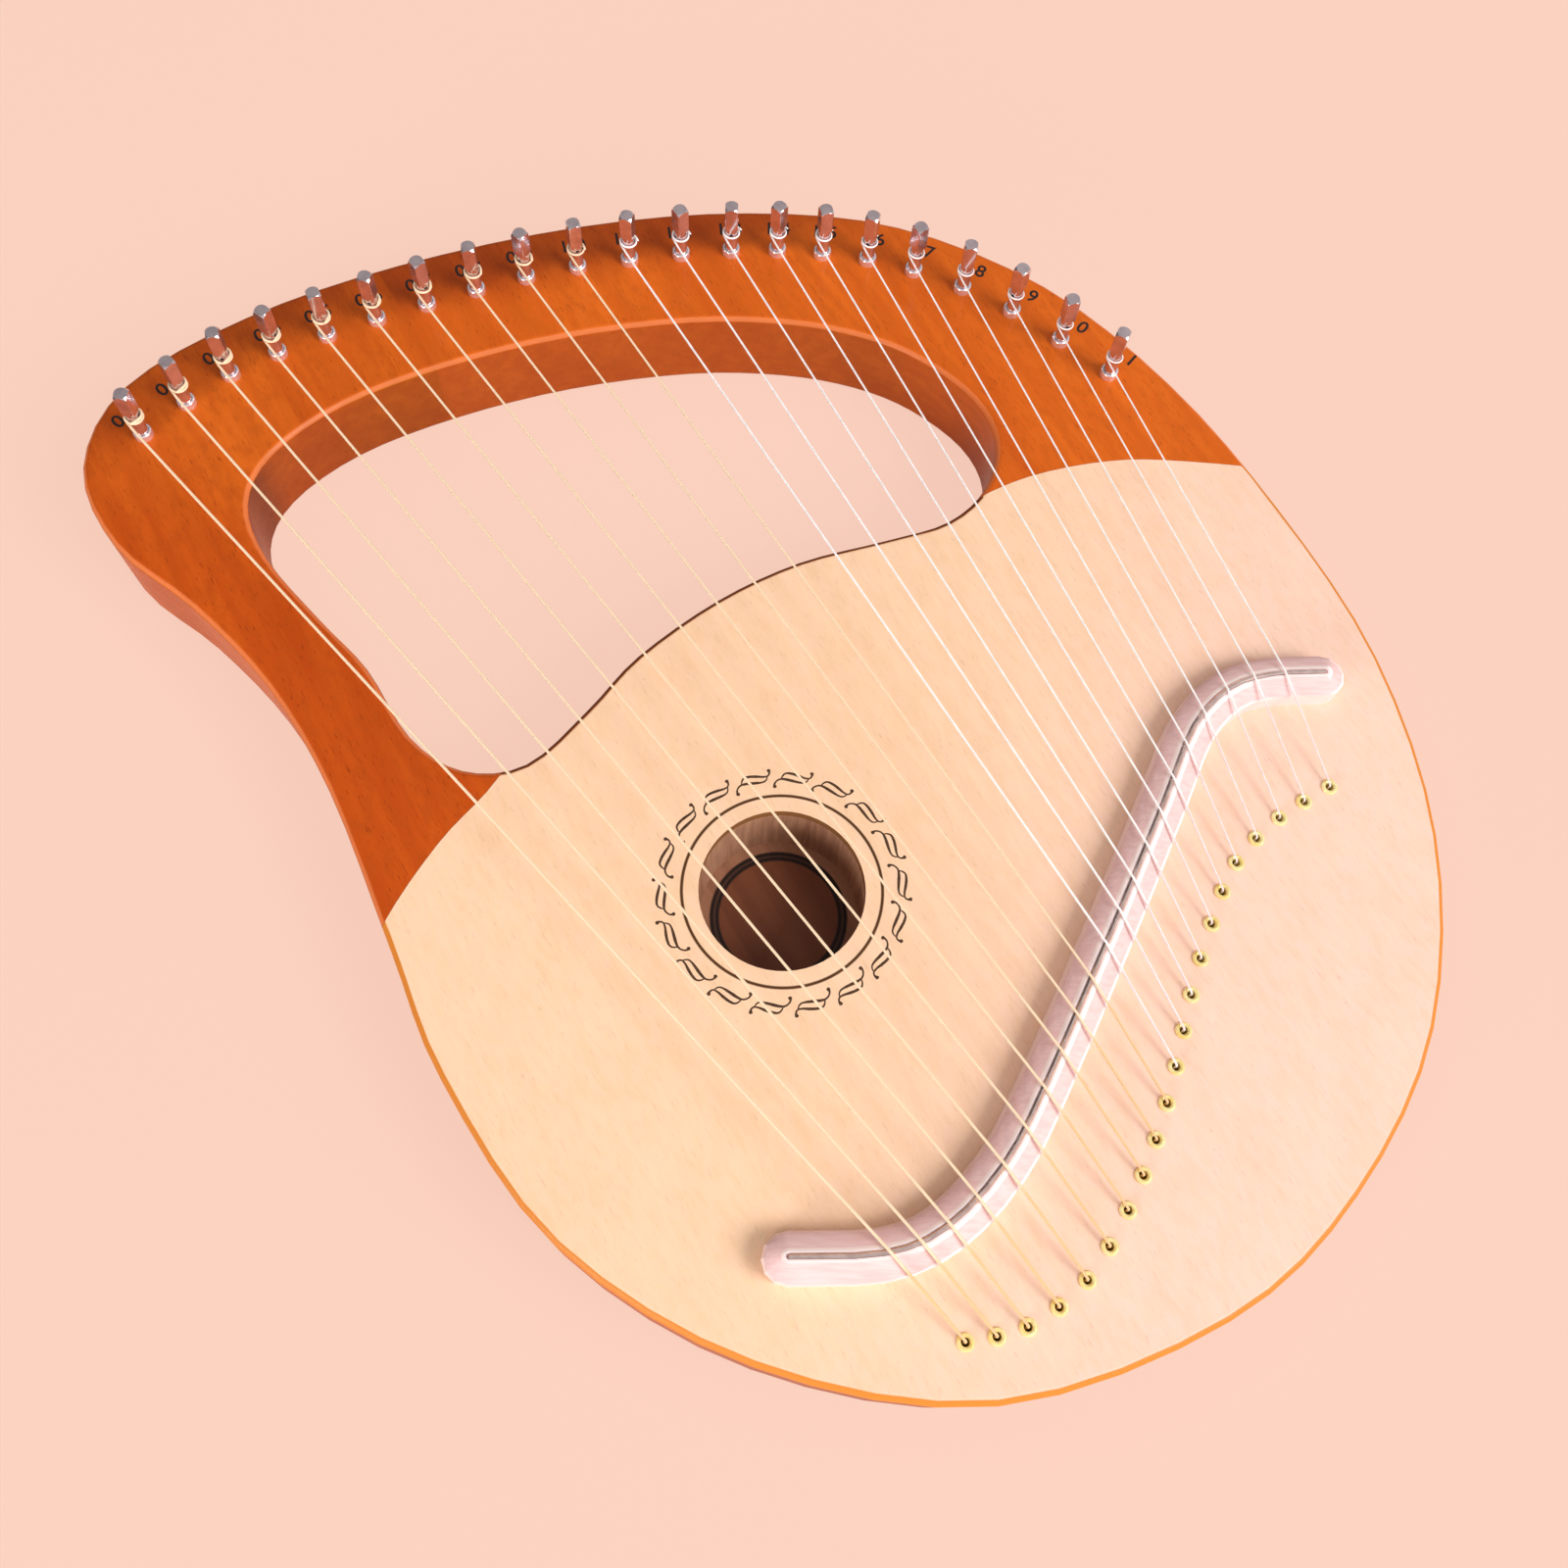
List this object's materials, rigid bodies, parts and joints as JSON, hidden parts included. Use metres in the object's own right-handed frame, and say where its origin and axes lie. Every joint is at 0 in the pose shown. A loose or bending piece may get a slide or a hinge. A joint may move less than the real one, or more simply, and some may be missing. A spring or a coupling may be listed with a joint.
{
  "type": "lyre harp",
  "caption": "Hand-held lyre harp: stained frame with a hand hole, pale soundboard, S-shaped bridge with a steel saddle, and turning tuning pins that tension the metal strings.",
  "frame": {"origin": "middle of the outline on the flat back, which the harp lies on", "axes": "+Z out of the soundboard, +Y along the strings towards the tuning pins, +X from the bass strings to the treble strings"},
  "size_m": [0.375, 0.479, 0.06],
  "materials": {
    "bass_board": "satin stain, red-brown",
    "treble_board": "satin stain, orange-brown",
    "soundboard": "satin lacquer, pale",
    "back_plate": "satin stain",
    "well": "raw bored wood",
    "inner_wood": "raw",
    "bridge": "satin, pinkish white",
    "saddle_rod": "polished",
    "eyelet": "polished",
    "ball_end": "plain",
    "ferrule": "polished nickel",
    "tuning_pin": "satin nickel",
    "bass_string": "pale bronze",
    "treble_string": "bright steel"
  },
  "bodies": {
    "harp_body": {"frame_bass_board": "bass_board", "frame_treble_board": "treble_board", "soundboard": "soundboard", "back_plate": "back_plate", "well_block": "well", "tail_block": "inner_wood", "cross_brace": "inner_wood", "bridge": "bridge", "saddle_rod": "saddle_rod", "eyelets": "eyelet", "ball_ends": "ball_end", "pin_ferrules": "ferrule", "string_01": "bass_string", "string_02": "bass_string", "string_03": "bass_string", "string_04": "bass_string", "string_05": "bass_string", "string_06": "bass_string", "string_07": "bass_string", "string_08": "bass_string", "string_09": "bass_string", "string_10": "bass_string", "string_11": "treble_string", "string_12": "treble_string", "string_13": "treble_string", "string_14": "treble_string", "string_15": "treble_string", "string_16": "treble_string", "string_17": "treble_string", "string_18": "treble_string", "string_19": "treble_string", "string_20": "treble_string", "string_21": "treble_string"},
    "pin_01": {"tuning_pin_01": "tuning_pin"},
    "pin_02": {"tuning_pin_02": "tuning_pin"},
    "pin_03": {"tuning_pin_03": "tuning_pin"},
    "pin_04": {"tuning_pin_04": "tuning_pin"},
    "pin_05": {"tuning_pin_05": "tuning_pin"},
    "pin_06": {"tuning_pin_06": "tuning_pin"},
    "pin_07": {"tuning_pin_07": "tuning_pin"},
    "pin_08": {"tuning_pin_08": "tuning_pin"},
    "pin_09": {"tuning_pin_09": "tuning_pin"},
    "pin_10": {"tuning_pin_10": "tuning_pin"},
    "pin_11": {"tuning_pin_11": "tuning_pin"},
    "pin_12": {"tuning_pin_12": "tuning_pin"},
    "pin_13": {"tuning_pin_13": "tuning_pin"},
    "pin_14": {"tuning_pin_14": "tuning_pin"},
    "pin_15": {"tuning_pin_15": "tuning_pin"},
    "pin_16": {"tuning_pin_16": "tuning_pin"},
    "pin_17": {"tuning_pin_17": "tuning_pin"},
    "pin_18": {"tuning_pin_18": "tuning_pin"},
    "pin_19": {"tuning_pin_19": "tuning_pin"},
    "pin_20": {"tuning_pin_20": "tuning_pin"},
    "pin_21": {"tuning_pin_21": "tuning_pin"}
  },
  "joints": [
    {"name": "pin_01_turn", "type": "hinge", "parent": "harp_body", "child": "pin_01", "pos_m": [-0.15945, 0.208, 0.035], "axis": [0, 0, -1], "range_deg": [-30, 15]},
    {"name": "pin_02_turn", "type": "hinge", "parent": "harp_body", "child": "pin_02", "pos_m": [-0.14072, 0.21313, 0.035], "axis": [0, 0, -1], "range_deg": [-30, 15]},
    {"name": "pin_03_turn", "type": "hinge", "parent": "harp_body", "child": "pin_03", "pos_m": [-0.12193, 0.217, 0.035], "axis": [0, 0, -1], "range_deg": [-30, 15]},
    {"name": "pin_04_turn", "type": "hinge", "parent": "harp_body", "child": "pin_04", "pos_m": [-0.10298, 0.21738, 0.035], "axis": [0, 0, -1], "range_deg": [-30, 15]},
    {"name": "pin_05_turn", "type": "hinge", "parent": "harp_body", "child": "pin_05", "pos_m": [-0.0839, 0.216, 0.035], "axis": [0, 0, -1], "range_deg": [-30, 15]},
    {"name": "pin_06_turn", "type": "hinge", "parent": "harp_body", "child": "pin_06", "pos_m": [-0.06467, 0.21384, 0.035], "axis": [0, 0, -1], "range_deg": [-30, 15]},
    {"name": "pin_07_turn", "type": "hinge", "parent": "harp_body", "child": "pin_07", "pos_m": [-0.04538, 0.211, 0.035], "axis": [0, 0, -1], "range_deg": [-30, 15]},
    {"name": "pin_08_turn", "type": "hinge", "parent": "harp_body", "child": "pin_08", "pos_m": [-0.02612, 0.20816, 0.035], "axis": [0, 0, -1], "range_deg": [-30, 15]},
    {"name": "pin_09_turn", "type": "hinge", "parent": "harp_body", "child": "pin_09", "pos_m": [-0.00686, 0.2045, 0.035], "axis": [0, 0, -1], "range_deg": [-30, 15]},
    {"name": "pin_10_turn", "type": "hinge", "parent": "harp_body", "child": "pin_10", "pos_m": [0.01253, 0.19928, 0.035], "axis": [0, 0, -1], "range_deg": [-30, 15]},
    {"name": "pin_11_turn", "type": "hinge", "parent": "harp_body", "child": "pin_11", "pos_m": [0.03167, 0.193, 0.035], "axis": [0, 0, -1], "range_deg": [-30, 15]},
    {"name": "pin_12_turn", "type": "hinge", "parent": "harp_body", "child": "pin_12", "pos_m": [0.05043, 0.18591, 0.035], "axis": [0, 0, -1], "range_deg": [-30, 15]},
    {"name": "pin_13_turn", "type": "hinge", "parent": "harp_body", "child": "pin_13", "pos_m": [0.06819, 0.178, 0.035], "axis": [0, 0, -1], "range_deg": [-30, 15]},
    {"name": "pin_14_turn", "type": "hinge", "parent": "harp_body", "child": "pin_14", "pos_m": [0.08404, 0.16956, 0.035], "axis": [0, 0, -1], "range_deg": [-30, 15]},
    {"name": "pin_15_turn", "type": "hinge", "parent": "harp_body", "child": "pin_15", "pos_m": [0.09871, 0.16, 0.035], "axis": [0, 0, -1], "range_deg": [-30, 15]},
    {"name": "pin_16_turn", "type": "hinge", "parent": "harp_body", "child": "pin_16", "pos_m": [0.11269, 0.14903, 0.035], "axis": [0, 0, -1], "range_deg": [-30, 15]},
    {"name": "pin_17_turn", "type": "hinge", "parent": "harp_body", "child": "pin_17", "pos_m": [0.12573, 0.136, 0.035], "axis": [0, 0, -1], "range_deg": [-30, 15]},
    {"name": "pin_18_turn", "type": "hinge", "parent": "harp_body", "child": "pin_18", "pos_m": [0.13789, 0.11987, 0.035], "axis": [0, 0, -1], "range_deg": [-30, 15]},
    {"name": "pin_19_turn", "type": "hinge", "parent": "harp_body", "child": "pin_19", "pos_m": [0.14874, 0.1015, 0.035], "axis": [0, 0, -1], "range_deg": [-30, 15]},
    {"name": "pin_20_turn", "type": "hinge", "parent": "harp_body", "child": "pin_20", "pos_m": [0.1574, 0.08097, 0.035], "axis": [0, 0, -1], "range_deg": [-30, 15]},
    {"name": "pin_21_turn", "type": "hinge", "parent": "harp_body", "child": "pin_21", "pos_m": [0.16525, 0.0595, 0.035], "axis": [0, 0, -1], "range_deg": [-30, 15]}
  ]
}
